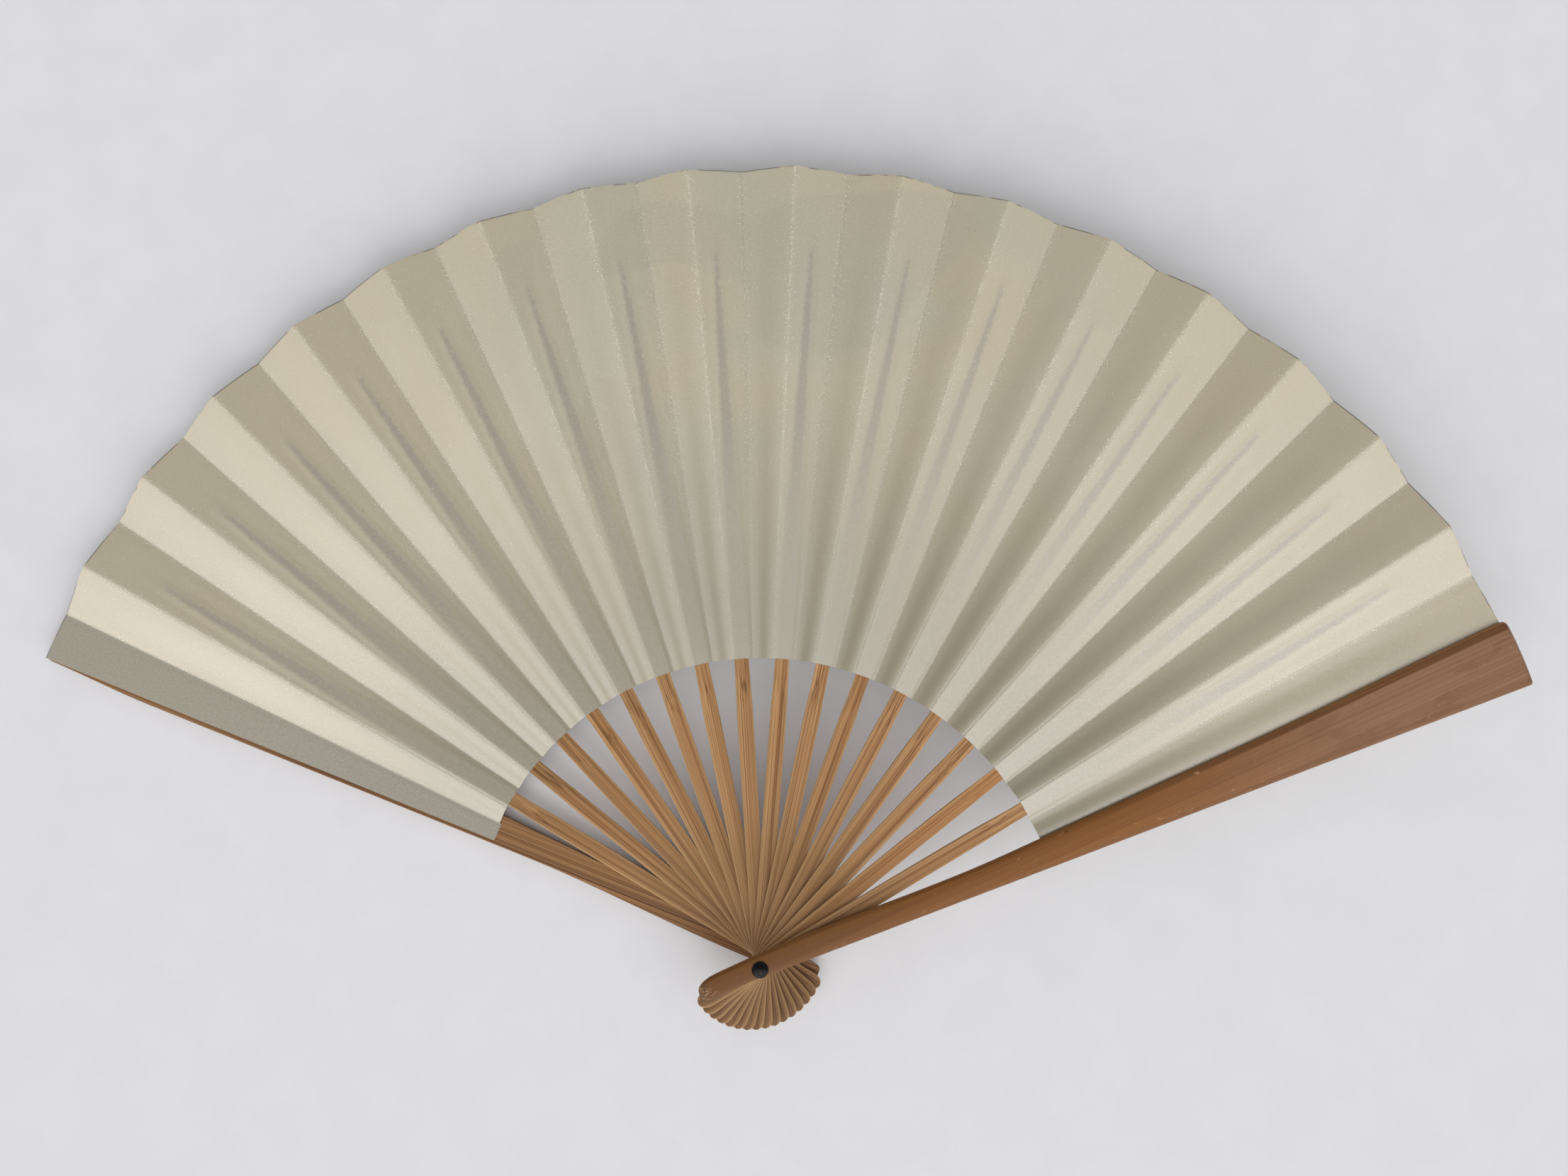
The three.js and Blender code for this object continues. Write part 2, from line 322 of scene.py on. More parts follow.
def columns():
    """Shares across a panel, closer together at its creases."""
    shares = []
    for i in range(PANEL_COLUMNS + 1):
        even = i / PANEL_COLUMNS
        shares.append((even + 0.5 - 0.5 * math.cos(math.pi * even)) / 2)
    return shares


def blade_distance(radius, angle):
    """How far a point of a rib's panel is outside the blade's outline, below zero inside it."""
    along = radius * math.cos(angle - RIB_LINE)
    across = abs(radius * math.sin(angle - RIB_LINE))
    if along > RIB_LENGTH:
        return math.hypot(across, along - RIB_LENGTH)
    return across - along_outline(BLADE_OUTLINE, along)


def crease_rounding(from_groove, from_ridge):
    """How far the creases' rounding moves the paper, and how much it follows the creases' normals."""
    groove = max(1.0 - from_groove / GROOVE_REACH, 0.0)
    ridge = max(1.0 - from_ridge / RIDGE_REACH, 0.0)
    return GROOVE_ROUND * groove ** 2 - RIDGE_ROUND * ridge ** 2, groove, ridge


def ripple(seed, radius, share):
    """Slow unevenness of the paper between its creases."""
    along = radius / RIPPLE_LENGTH
    first = noise.noise(Vector((along, RIPPLE_SEEDS * seed, 0.5)))
    second = noise.noise(Vector((along * 1.7, RIPPLE_SEEDS * seed, 9.5)))
    wave = first * math.sin(math.pi * share) + 0.5 * second * math.sin(2 * math.pi * share)
    return PAPER_RIPPLE * wave * calm(radius)


def calm(radius):
    """How much of its unevenness the paper keeps towards the rim."""
    return 1.0 - RIM_CALMING * smoothstep(radius, LEAF_OUTER_RADIUS - RIM_CALM, LEAF_OUTER_RADIUS)


def leaf_place(order, share, radius):
    """The same point on the leaf before it was pleated, in metres."""
    angle = (order + share - LAST - 0.5) * PANEL_ANGLE
    return (radius * math.sin(angle) * MM, radius * math.cos(angle) * MM, 0.0)


class Panel:
    """One panel of the leaf, from its groove (share 0) to its ridge (share 1)."""

    def __init__(self, name, order, rightwards, inner):
        self.name = name
        self.order = order
        self.rightwards = rightwards
        self.inner = inner
        self.has_groove = True
        self.has_ridge = True
        self.under = PLY
        self.over = PLY
        self.glued = 0.0

    def base(self, radius, share):
        raise NotImplementedError

    def swell(self, radius, share):
        """How far the faces stand off the panel's middle, and its sideways offset from its plane."""
        return 0.0, 0.0

    def blade_mark(self, radius, share):
        return FAR

    def column(self, radius, share):
        middle, normal, groove_normal, ridge_normal_here, width = self.base(radius, share)
        from_groove = share * width if self.has_groove else FAR
        from_ridge = (1.0 - share) * width if self.has_ridge else FAR
        shift, near_groove, near_ridge = crease_rounding(from_groove, from_ridge)
        facing = normal * (1.0 - max(near_groove, near_ridge))
        facing = facing + groove_normal * near_groove + ridge_normal_here * near_ridge
        facing.normalize()
        swell, offset = self.swell(radius, share)
        middle = middle + facing * (shift + offset)
        # the faces that come together when the fan is closed are thinned towards their crease
        over = self.over * min(from_groove / (THINNED * width), 1.0)
        under = self.under * min(from_ridge / (THINNED * width), 1.0)
        upper = middle + facing * (over + swell)
        lower = middle - facing * (under + swell)
        unfolded = share if self.rightwards else 1.0 - share
        place = leaf_place(self.order, unfolded, radius)
        crease = min(from_groove, from_ridge)
        mark = (crease * MM, self.blade_mark(radius, share) * MM, radius * MM)
        ridge_side = 1.0 if from_ridge < from_groove else 0.0
        return upper, lower, place, mark, ridge_side

    def build(self):
        rings = []
        places = []
        marks = []
        sides = []
        for row in range(PANEL_ROWS + 1):
            radius = mix(self.inner, LEAF_OUTER_RADIUS, row / PANEL_ROWS)
            made = [self.column(radius, share) for share in columns()]
            back = made[::-1]
            rings.append([m[0] for m in made] + [m[1] for m in back])
            places += [m[2] for m in made + back]
            marks += [m[3] for m in made + back]
            sides += [(m[4], self.glued, 0.0) for m in made + back]
        piece = loft(self.name, rings, {"place": places, "marks": marks, "sides": sides}, PAPER_SHARP)
        face_out(piece)
        return piece


class StickPanel(Panel):
    """A panel on a rib, with the rib's blade between its plies, or glued flat on a guard."""

    def __init__(self, stick):
        inner = LEAF_INNER_RADIUS - (LEAF_STEP if stick == 0 else 0.0)
        super().__init__(numbered("paper_on_stick", stick), 2 * stick, False, inner)
        self.stick = stick
        self.has_groove = stick != LAST
        self.has_ridge = stick != 0
        if stick == 0:
            self.under = GUARD_GLUE
            self.glued = 1.0
        elif stick == LAST:
            self.over = GUARD_GLUE

    def base(self, radius, share):
        stick = self.stick
        angle = stick_panel_angle(stick)
        middle = panel_point(stick, radius, share * angle)
        groove = valley_normal(stick, radius)
        ridge = ridge_normal(stick, radius)
        return middle, stick_normal(stick), groove, ridge, radius * angle

    def swell(self, radius, share):
        if self.stick in (0, LAST):
            return 0.0, 0.0
        distance = self.blade_mark(radius, share)
        swell = BLADE_THICKNESS / 2 * (1.0 - smoothstep(distance, 0.0, BAND_EASE))
        return swell, ripple(self.stick, radius, share) * 0.5

    def blade_mark(self, radius, share):
        if self.stick in (0, LAST):
            return FAR
        return blade_distance(radius, share * PANEL_ANGLE)


class FreePanel(Panel):
    """The panel between a stick's groove and the next stick's ridge."""

    def __init__(self, stick):
        name = numbered("paper_fold", stick)
        super().__init__(name, 2 * stick + 1, True, LEAF_INNER_RADIUS)
        self.stick = stick

    def base(self, radius, share):
        stick = self.stick
        low = panel_point(stick, radius, 0.0)
        high = panel_point(stick + 1, radius, stick_panel_angle(stick + 1))
        middle = low.lerp(high, share)
        outward = Vector((middle.x, middle.y, 0.0)).normalized()
        half = PANEL_ANGLE / 2
        bow = radius * (math.cos(half * (1.0 - 2.0 * share)) - math.cos(half))
        middle = middle + outward * bow
        groove = valley_normal(stick, radius)
        ridge = ridge_normal(stick + 1, radius)
        return middle, free_normal(stick, radius), groove, ridge, (high - low).length

    def swell(self, radius, share):
        wave = -PANEL_WAVE * math.sin(2 * math.pi * share) * calm(radius)
        return 0.0, wave + ripple(FREE_SEED + self.stick, radius, share)


def make_leaf(paper):
    for stick in range(LAST + 1):
        piece = StickPanel(stick).build()
        piece.data.materials.append(paper)
        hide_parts(numbered("leaf_on_stick", stick))
        body = numbered("leaf_on_stick", stick)
        if stick == 0:
            body = "rear_guard"
        elif stick == LAST:
            body = "front_guard"
        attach(piece, body)
    for stick in range(LAST):
        piece = FreePanel(stick).build()
        piece.data.materials.append(paper)
        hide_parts(numbered("leaf_fold", stick))
        start = crease_end(stick, FOLD_START.get(stick, FOLD_START_BETWEEN))
        end = crease_end(stick, FOLD_END)
        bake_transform(piece)


# The ribs


def rib_stations():
    tail = [step - RIB_TAIL for step in (0.0, 0.15, 0.5, 1.0, 1.7, 2.8, 4.4, 6.7)]
    neck = [mix(-8.0, SCARF_START, i / 18) for i in range(19)]
    scarf = [mix(SCARF_START, BLADE_START, i / 5) for i in range(1, 6)]
    blade = [mix(BLADE_START, 182.0, i / 14) for i in range(1, 15)]
    tip = [RIB_LENGTH - step for step in (3.0, 0.9, 0.0)]
    return tail + neck + scarf + blade + tip


def rib_half_width(along):
    if along > SCARF_START:
        neck = smoothstep(along, SCARF_START, BLADE_START)
        return mix(RIB_HALF_WIDTH, along_outline(BLADE_OUTLINE, along), neck)
    from_end = along + RIB_TAIL
    if from_end < RIB_ROUND:
        share = 1.0 - from_end / RIB_ROUND
        return RIB_HALF_WIDTH * math.sqrt(max(1.0 - share ** 2.4, 0.0)) * 0.86 + RIB_END_WIDTH
    return RIB_HALF_WIDTH


def rib_ring(stick, along):
    """A rib's section, in the frame of its stick: flat, with eased edges."""
    half = rib_half_width(along)
    thin = smoothstep(along, SCARF_START, BLADE_START)
    thick = mix(RIB_THICKNESS, BLADE_THICKNESS, thin) / 2
    tail = 1.0 - smoothstep(along, -RIB_TAIL, -RIB_TAIL + 2.5)
    thick *= 1.0 - 0.3 * tail
    ease = min(RIB_EASE, thick * 0.6, half * 0.4)
    crown = RIB_CROWN * (1.0 - thin)
    top = thick - crown
    run = [
        (-half, thick - ease),
        (-half + ease * 0.3, top - ease * 0.25),
        (-half + ease, top),
        (-half * 0.45, top + crown * 0.8),
        (0.0, thick),
        (half * 0.45, top + crown * 0.8),
        (half - ease, top),
        (half - ease * 0.3, top - ease * 0.25),
        (half, thick - ease),
    ]
    bow = RIB_BOW * noise.noise(Vector((along / RIB_BOW_LENGTH, 3.7 * stick, 1.5)))
    bow *= smoothstep(along, 5.0, 30.0) * (1.0 - smoothstep(along, 60.0, 76.0))
    return [(a + bow, b) for a, b in run] + [(a + bow, -b) for a, b in run[::-1]]


def make_rib(stick, bamboo):
    rings = []
    places = []
    marks = []
    tone = noise.cell(Vector((stick * 1.7 + 0.3, 4.2, 8.1)))
    cosine = math.cos(RIB_LINE)
    sine = math.sin(RIB_LINE)
    for along in rib_stations():
        ring = []
        for across, up in rib_ring(stick, along):
            x = along * cosine - across * sine
            y = along * sine + across * cosine
            twist = PANEL_TILT * smoothstep(x, TWIST_START, TWIST_END)
            ring.append(fan_point(stick, x, y, up, twist))
            places.append((along * MM, across * MM, up * MM))
        rings.append(ring)
        marks += [(tone, stick * 0.37, edge) for edge in RIB_EDGE_MARKS * 2]
    piece = loft(numbered("bamboo_rib", stick), rings, {"place": places, "marks": marks}, RIB_SHARP)
    face_out(piece)
    piece.data.materials.append(bamboo)
    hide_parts(numbered("rib", stick))
    start = crease_end(stick, TWIST_START)
    end = crease_end(stick, TWIST_END)
    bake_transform(piece)


# The guards


def guard_edges(along, outline):
    tip, margin, tip_margin, flare = outline
    outside = -GUARD_EDGE_START - GUARD_EDGE_SLOPE * max(along, -4.0)
    inside = mix(GUARD_HALF_WIDTH, margin, smoothstep(along, 0.0, GUARD_WAIST))
    inside += (tip_margin - margin) * smoothstep(along, tip - flare, tip)
    return outside, inside


# share of the width from the outside edge, and of the thickness from the flat face
GUARD_FACE = (
    (0.0, 0.36),
    (0.006, 0.52),
    (0.022, 0.66),
    (0.05, 0.76),
    (0.1, 0.85),
    (0.18, 0.92),
    (0.3, 0.975),
    (0.43, 1.0),
    (0.56, 1.0),
    (0.68, 0.98),
    (0.78, 0.945),
    (0.86, 0.9),
    (0.885, 0.875),
    (0.93, 0.78),
    (0.975, 0.66),
    (0.993, 0.56),
    (1.0, 0.4),
)


def guard_stations(tip_radius):
    tail = [0.0, 0.15, 0.45, 0.9, 1.6, 2.6, 4.0, 6.0, 9.0, 12.5]
    blade = [mix(0.0, GUARD_REGULAR, i / 44) for i in range(45)]
    tip = [tip_radius - step for step in (3.2, 2.0, 1.0, 0.4, 0.1, 0.0)]
    return [-GUARD_TAIL + step for step in tail] + blade + tip


def guard_ring(along, outline):
    """Points of a guard's section as (along, across, height over its flat face), and the shares."""
    outside, inside = guard_edges(along, outline)
    from_end = along + GUARD_TAIL
    if from_end < GUARD_HEEL:
        share = 1.0 - from_end / GUARD_HEEL
        outside *= mix(1.0, math.sqrt(1.0 - share ** 3.2), 0.62)
        inside *= mix(1.0, math.sqrt(1.0 - share ** 2.2), 0.78)
    from_tip = outline[0] - along
    if from_tip < GUARD_CORNER:
        corner = max(GUARD_CORNER ** 2 - (GUARD_CORNER - from_tip) ** 2, 0.0)
        inside -= GUARD_CORNER - math.sqrt(corner)
        outside += 0.25 * (1.0 - smoothstep(from_tip, 0.0, 0.4))
    # the section gets lower and flatter towards both ends
    ends = min(smoothstep(from_end, -1.2, 2.8), smoothstep(from_tip, -0.9, 1.0))
    top = []
    flat = []
    for share, rise in GUARD_FACE:
        across = mix(outside, inside, share)
        lift = GUARD_THICKNESS * mix(0.32, rise, ends) * mix(0.8, 1.0, ends)
        if from_end < GUARD_CHIPPED:
            chip = max(noise.noise(Vector((along * 0.9, across * 1.3, 3.0))), 0.0)
            chip *= GUARD_CHIPS * (1.0 - from_end / GUARD_CHIPPED)
            lift -= chip * lift / GUARD_THICKNESS
        inset = GUARD_INSET * (outside - inside) * (share - 0.5)
        reach = along
        if along > TIP_ARC[0]:
            reach = math.sqrt(along ** 2 - across ** 2)
            reach = mix(along, reach, smoothstep(along, *TIP_ARC))
        top.append((reach, across, lift, share))
        flat.append((reach, across + inset, 0.0, share))
    return top, flat


def make_guard(name, stick, outline, skin, fibre):
    """A guard with its flat face on the leaf's side. The rear one is turned over."""
    up = 1.0 if stick == LAST else -1.0
    low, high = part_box(name)
    flat_level = (low.z if stick == LAST else high.z) / MM - LEVELS[stick]
    cosine = math.cos(GUARD_LINE)
    sine = math.sin(GUARD_LINE)
    fibre_shift = 0.6 if stick == LAST else 0.2
    rings = []
    places = []
    marks = []
    for along in guard_stations(outline[0]):
        top, flat = guard_ring(along, outline)
        ring = []
        for x, y, lift, share in top + flat[::-1]:
            ahead = x * cosine - y * sine
            beside = x * sine + y * cosine
            ring.append(fan_point(stick, ahead, beside, flat_level + up * lift))
            places.append((x * MM, y * MM, lift * MM))
            marks.append((share, fibre_shift, 0.0))
        rings.append(ring)
    piece = loft(f"bamboo_{name}", rings, {"place": places, "marks": marks}, GUARD_SHARP)
    face_out(piece)
    piece.data.materials.append(skin)
    piece.data.materials.append(fibre)
    # the flat face shows the cut fibres
    for face in piece.data.polygons:
        if face.normal.z * up < -0.5:
            face.material_index = 1
    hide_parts(name)
    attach(piece, name)


# The rivet


def rivet_profile():
    low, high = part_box("rivet")
    base = low.z / MM
    top = high.z / MM
    head = [
        (0.0, 0.05),
        (0.45, 0.07),
        (0.9, 0.17),
        (1.3, 0.33),
        (1.62, 0.53),
        (1.86, 0.76),
        (2.0, 0.94),
        (2.07, 1.02),
        (RIVET_HEAD_RADIUS, 1.08),
        (RIVET_HEAD_RADIUS, 1.16),
        (2.04, RIVET_HEAD_HEIGHT),
        (RIVET_RADIUS, RIVET_HEAD_HEIGHT),
    ]
    rear = [(0.0, 0.0), (RIVET_REAR_FLAT, 0.0)]
    rear += [(r, z) for r, z in head if r > RIVET_REAR_FLAT]
    rear.append((RIVET_RADIUS, RIVET_HEAD_HEIGHT))
    front = [(r, top - base - z) for r, z in head[::-1]]
    return [(r, base + z) for r, z in rear + front]


def make_rivet(plastic):
    rings = []
    for radius, height in rivet_profile():
        radius = max(radius, RIVET_POLE)
        ring = []
        for i in range(RIVET_SIDES):
            angle = 2 * math.pi * (i + 0.5) / RIVET_SIDES
            ring.append((radius * math.cos(angle), radius * math.sin(angle), height))
        rings.append(ring)
    piece = loft("moulded_rivet", rings, {}, RIVET_SHARP)
    face_out(piece)
    piece.data.materials.append(plastic)
    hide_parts("rivet")
    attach(piece, "rear_guard")


# Materials


def srgb(red, green, blue):
    """A colour given in screen values from 0 to 255."""
    linear = []
    for value in (red, green, blue):
        value /= 255.0
        linear.append(value / 12.92 if value < 0.04045 else ((value + 0.055) / 1.055) ** 2.4)
    return (*linear, 1.0)


# Colours of the paper
CREAM = srgb(187, 172, 139)
GREEN_WASH = srgb(177, 173, 144)
PALE_CLOUD = srgb(193, 181, 150)
GREY_PATCH = srgb(156, 154, 132)
BLADE_SHADE = srgb(146, 134, 127)
BLADE_CORE = srgb(112, 100, 94)
GROOVE_SHADE = srgb(124, 112, 84)
RIDGE_WEAR_AND_HIGHLIGHT = srgb(224, 216, 190)
MICA_SPECK_GLINT = srgb(240, 236, 220)
PULP_FLECK = srgb(104, 92, 70)
INNER_SHADE = srgb(132, 121, 88)
GLUED_GREY = srgb(110, 102, 79)
RIM_DIRT = srgb(74, 66, 54)
PAPER_GRAIN = srgb(136, 124, 98)

# Colours of the ribs
RIB_DARK = srgb(98, 60, 29)
RIB_MIDDLE = srgb(164, 118, 72)
RIB_LIGHT = srgb(194, 150, 101)
RIB_HONEY = srgb(160, 102, 46)
RIB_CLOUD = srgb(146, 100, 60)
RIB_HANDLED_AND_SHADED = srgb(120, 86, 50)
RIB_TAIL_SHADE = srgb(88, 60, 32)
RIB_PALE_EDGE = srgb(200, 162, 114)

# Colours of the guards
SKIN_BROWN = srgb(116, 71, 29)
SKIN_TAN = srgb(138, 90, 43)
SKIN_ROSY = srgb(134, 97, 71)
SKIN_PINK = srgb(147, 110, 84)
SKIN_HANDLED = srgb(100, 65, 30)
SKIN_STAIN = srgb(118, 80, 56)
SKIN_GRAIN = srgb(98, 60, 34)
SKIN_TURNED_SHADE = srgb(112, 74, 44)
SHAVED_DARK = srgb(104, 64, 34)
SHAVED_STREAK = srgb(150, 104, 62)
SHAVED_LIT = srgb(158, 112, 66)
CHIP_PALE = srgb(176, 146, 112)
CHIP_DARK = srgb(74, 48, 28)
FIBRE_DARK = srgb(86, 54, 28)
FIBRE_MIDDLE = srgb(142, 98, 58)
FIBRE_LIGHT = srgb(166, 124, 80)

# Colours of the rivet
PLASTIC_BLACK = srgb(5, 5, 7)
PLASTIC_WORN = srgb(12, 12, 17)

# Colours of the board
BOARD_GREY = srgb(223, 222, 224)
BOARD_PALE = srgb(226, 225, 227)

# Stretches over which a material changes, in metres along a stick or from the rivet
MIDDLE_STRETCH = (0.03, 0.11)
CORE_STRETCH = (0.105, 0.15)
INNER_STRETCH = (0.085, 0.16)
RIM_STRETCH = (0.20855, 0.20885)
RIB_HANDLED_AND_SHADED_STRETCH = (0.02, 0.05)
RIB_TAIL_STRETCH = (-0.004, 0.004)
SKIN_HANDLED_STRETCH = (0.0, 0.06)
ROSY_STRETCH = (0.09, 0.185)
STAIN_STRETCH = (0.08, 0.2)
SHAVED_STRETCH = (0.1, 0.15)
CHIPPED_STRETCH = (-0.0166, -0.0105)

# Distances from a crease over which it marks the paper, in metres
GROOVE_SHADE_WIDTH = 0.0007
RIDGE_WEAR_AND_HIGHLIGHT_REACH = (0.00004, 0.0003)
BARE_WIDTH = 0.0025


class Tree:
    """Short names for building one material's nodes."""

    def __init__(self, name, **settings):
        self.material = bpy.data.materials.new(name)
        self.material.use_nodes = True
        self.nodes = self.material.node_tree.nodes
        self.links = self.material.node_tree.links
        self.shader = self.nodes["Principled BSDF"]
        for key, value in settings.items():
            self.shader.inputs[key.replace("_", " ")].default_value = value

    def put(self, socket, value):
        if isinstance(value, bpy.types.NodeSocket):
            self.links.new(value, socket)
        else:
            socket.default_value = value

    def set(self, name, value):
        self.put(self.shader.inputs[name], value)

    def mark(self, name):
        node = self.nodes.new("ShaderNodeAttribute")
        node.attribute_name = name
        return node.outputs["Vector"]

    def parts(self, vector):
        node = self.nodes.new("ShaderNodeSeparateXYZ")
        self.put(node.inputs[0], vector)
        return node.outputs

    def join(self, x, y, z):
        node = self.nodes.new("ShaderNodeCombineXYZ")
        for socket, value in zip(node.inputs, (x, y, z)):
            self.put(socket, value)
        return node.outputs[0]

    def math(self, operation, first, second=0.0):
        node = self.nodes.new("ShaderNodeMath")
        node.operation = operation
        self.put(node.inputs[0], first)
        self.put(node.inputs[1], second)
        return node.outputs[0]

    def stretch(self, vector, scale):
        node = self.nodes.new("ShaderNodeVectorMath")
        node.operation = "MULTIPLY"
        self.put(node.inputs[0], vector)
        node.inputs[1].default_value = scale
        return node.outputs[0]

    def noise(self, vector, scale=1.0, detail=2.0, roughness=0.5, distortion=0.0):
        node = self.nodes.new("ShaderNodeTexNoise")
        self.put(node.inputs["Vector"], vector)
        node.inputs["Scale"].default_value = scale
        node.inputs["Detail"].default_value = detail
        node.inputs["Roughness"].default_value = roughness
        node.inputs["Distortion"].default_value = distortion
        return node.outputs["Fac"]

    def between(self, value, low, high, start=0.0, end=1.0):
        """Rises smoothly from start to end as value goes from low to high."""
        node = self.nodes.new("ShaderNodeMapRange")
        node.interpolation_type = "SMOOTHSTEP"
        self.put(node.inputs["Value"], value)
        node.inputs["From Min"].default_value = low
        node.inputs["From Max"].default_value = high
        node.inputs["To Min"].default_value = start
        node.inputs["To Max"].default_value = end
        return node.outputs["Result"]

    def blend(self, share, first, second, kind="MIX"):
        node = self.nodes.new("ShaderNodeMix")
        node.data_type = "RGBA"
        node.blend_type = kind
        self.put(node.inputs[0], share)
        self.put(node.inputs[6], first)
        self.put(node.inputs[7], second)
        return node.outputs[2]

    def bump(self, height, strength, distance):
        node = self.nodes.new("ShaderNodeBump")
        node.inputs["Strength"].default_value = strength
        node.inputs["Distance"].default_value = distance
        self.put(node.inputs["Height"], height)
        self.set("Normal", node.outputs["Normal"])


def paper_material():
    tree = Tree("mica_paper", IOR=2.9)
    place = tree.mark("place")
    crease, blade, radius = tree.parts(tree.mark("marks"))
    sides = tree.parts(tree.mark("sides"))
    ridge = sides[0]
    glued = sides[1]
    # a faint wash in the middle of the leaf
    middle = tree.between(tree.math("ABSOLUTE", tree.parts(place)[0]), *MIDDLE_STRETCH, 1.0, 0.1)
    wash = tree.between(tree.noise(place, scale=16.0, roughness=0.45, distortion=0.6), 0.4, 0.6)
    wash = tree.math("MULTIPLY", wash, middle)
    colour = tree.blend(wash, CREAM, GREEN_WASH)
    cloud = tree.noise(place, scale=60.0, detail=3.0, roughness=0.55)
    colour = tree.blend(tree.between(cloud, 0.4, 0.7, 0.0, 0.3), colour, PALE_CLOUD)
    # grey patches where the back of the leaf shows through
    patch = tree.noise(place, scale=12.0, detail=1.0, roughness=0.3, distortion=1.5)
    patch = tree.math("MULTIPLY", tree.between(patch, 0.54, 0.57, 0.0, 0.26), middle)
    colour = tree.blend(patch, colour, GREY_PATCH)
    # the blade's shadow through the paper, darker where it is thin
    mottle = tree.noise(place, scale=800.0, detail=3.0, roughness=0.6)
    uneven = tree.math("ADD", blade, tree.between(mottle, 0.2, 0.8, -0.0006, 0.0006))
    soft = tree.between(uneven, -0.0006, 0.0009, 1.0, 0.0)
    soft = tree.math("MULTIPLY", soft, tree.between(mottle, 0.35, 0.65, 0.15, 0.42))
    colour = tree.blend(soft, colour, BLADE_SHADE)
    core = tree.between(uneven, -0.0007, 0.0002, 1.0, 0.0)
    core = tree.math("MULTIPLY", core, tree.between(radius, *CORE_STRETCH, 0.0, 0.34))
    colour = tree.blend(core, colour, BLADE_CORE)
    # creases: painted shade in the grooves, and a pale line on the ridges, partly wear and partly
    # painted highlight
    groove = tree.between(crease, 0.0, GROOVE_SHADE_WIDTH, 1.0, 0.0)
    groove = tree.math("MULTIPLY", groove, tree.between(ridge, 0.0, 1.0, 0.22, 0.0))
    colour = tree.blend(groove, colour, GROOVE_SHADE)
    # the pale ridge line: worn paper, with a painted highlight
    ridge_wear_and_highlight_noise = tree.noise(place, scale=300.0, detail=3.0, roughness=0.6)
    line = tree.between(crease, *RIDGE_WEAR_AND_HIGHLIGHT_REACH, 1.0, 0.0)
    line = tree.math("MULTIPLY", line, tree.between(ridge_wear_and_highlight_noise, 0.42, 0.66, 0.0, 0.55))
    line = tree.math("MULTIPLY", line, ridge)
    colour = tree.blend(line, colour, RIDGE_WEAR_AND_HIGHLIGHT)
    # mica flakes in the paper, with their glints painted in as pale specks
    glitter = tree.noise(place, scale=2300.0, detail=1.0)
    near = tree.between(crease, 0.0, BARE_WIDTH, 0.0, 0.08)
    speck_glint = tree.between(tree.math("SUBTRACT", glitter, near), 0.6, 0.68)
    colour = tree.blend(tree.math("MULTIPLY", speck_glint, 0.65), colour, MICA_SPECK_GLINT)
    fleck = tree.noise(place, scale=480.0, roughness=0.7)
    colour = tree.blend(tree.between(fleck, 0.75, 0.79, 0.0, 0.6), colour, PULP_FLECK)
    # painted shade darkening the paper towards the ribs, and greyer on the rear guard
    colour = tree.blend(tree.between(radius, *INNER_STRETCH, 0.6, 0.0), colour, INNER_SHADE)
    colour = tree.blend(tree.math("MULTIPLY", glued, 0.8), colour, GLUED_GREY)
    # pigment rubbed off along the rim
    rim = tree.between(radius, *RIM_STRETCH)
    dirt = tree.between(tree.noise(place, scale=90.0, detail=3.0, roughness=0.7), 0.44, 0.54, 0.05, 0.9)
    colour = tree.blend(tree.math("MULTIPLY", rim, dirt), colour, RIM_DIRT)
    grain = tree.noise(place, scale=2400.0, detail=3.0, roughness=0.6)
    colour = tree.blend(tree.between(grain, 0.35, 0.65, 0.16, 0.0), colour, PAPER_GRAIN)
    tree.set("Base Color", colour)
    mica = tree.noise(place, scale=1500.0, roughness=0.6)
    dull = tree.math("MULTIPLY", glued, 0.3)
    tree.set("Roughness", tree.math("ADD", tree.between(mica, 0.3, 0.7, 0.5, 0.3), dull))
    fibre = tree.noise(tree.stretch(place, (1.0, 2.2, 1.0)), scale=520.0, detail=3.0, roughness=0.6)
    height = tree.math("ADD", grain, tree.math("MULTIPLY", fibre, 1.5))
    tree.bump(tree.math("ADD", height, mica), strength=0.28, distance=0.00003)
    return tree.material


def strands(tree, vector, width, strength):
    """Thin lines along the contours of a noise."""
    field = tree.noise(vector)
    off = tree.math("ABSOLUTE", tree.math("SUBTRACT", field, 0.5))
    return tree.between(off, 0.0, width, strength, 0.0)


def bamboo_colour(tree, place, shift, dark, middle, light, contrast):
    """Bamboo seen on its cut face: straight fibre bundles, brown in a paler body."""
    along, across, up = tree.parts(place)
    shifted = tree.join(along, tree.math("ADD", across, shift), up)
    broad = tree.noise(tree.stretch(shifted, (3.0, 900.0, 500.0)))
    lines = tree.noise(tree.stretch(shifted, (5.0, 3600.0, 2400.0)), detail=3.0, roughness=0.65)
    hairs = tree.noise(tree.stretch(shifted, (20.0, 9000.0, 6000.0)), roughness=0.6)
    body = tree.blend(tree.between(broad, 0.35, 0.65), middle, light)
    body = tree.blend(tree.between(hairs, 0.4, 0.7, 0.0, 0.4), body, middle)
    body = tree.blend(tree.between(lines, 0.54, 0.68, 0.0, contrast * 0.6), body, dark)
    fine = strands(tree, tree.stretch(shifted, (4.0, 2000.0, 1500.0)), 0.06, contrast)
    body = tree.blend(fine, body, dark)
    wide = strands(tree, tree.stretch(shifted, (1.5, 800.0, 600.0)), 0.03, contrast * 0.6)
    return tree.blend(wide, body, dark), lines, hairs


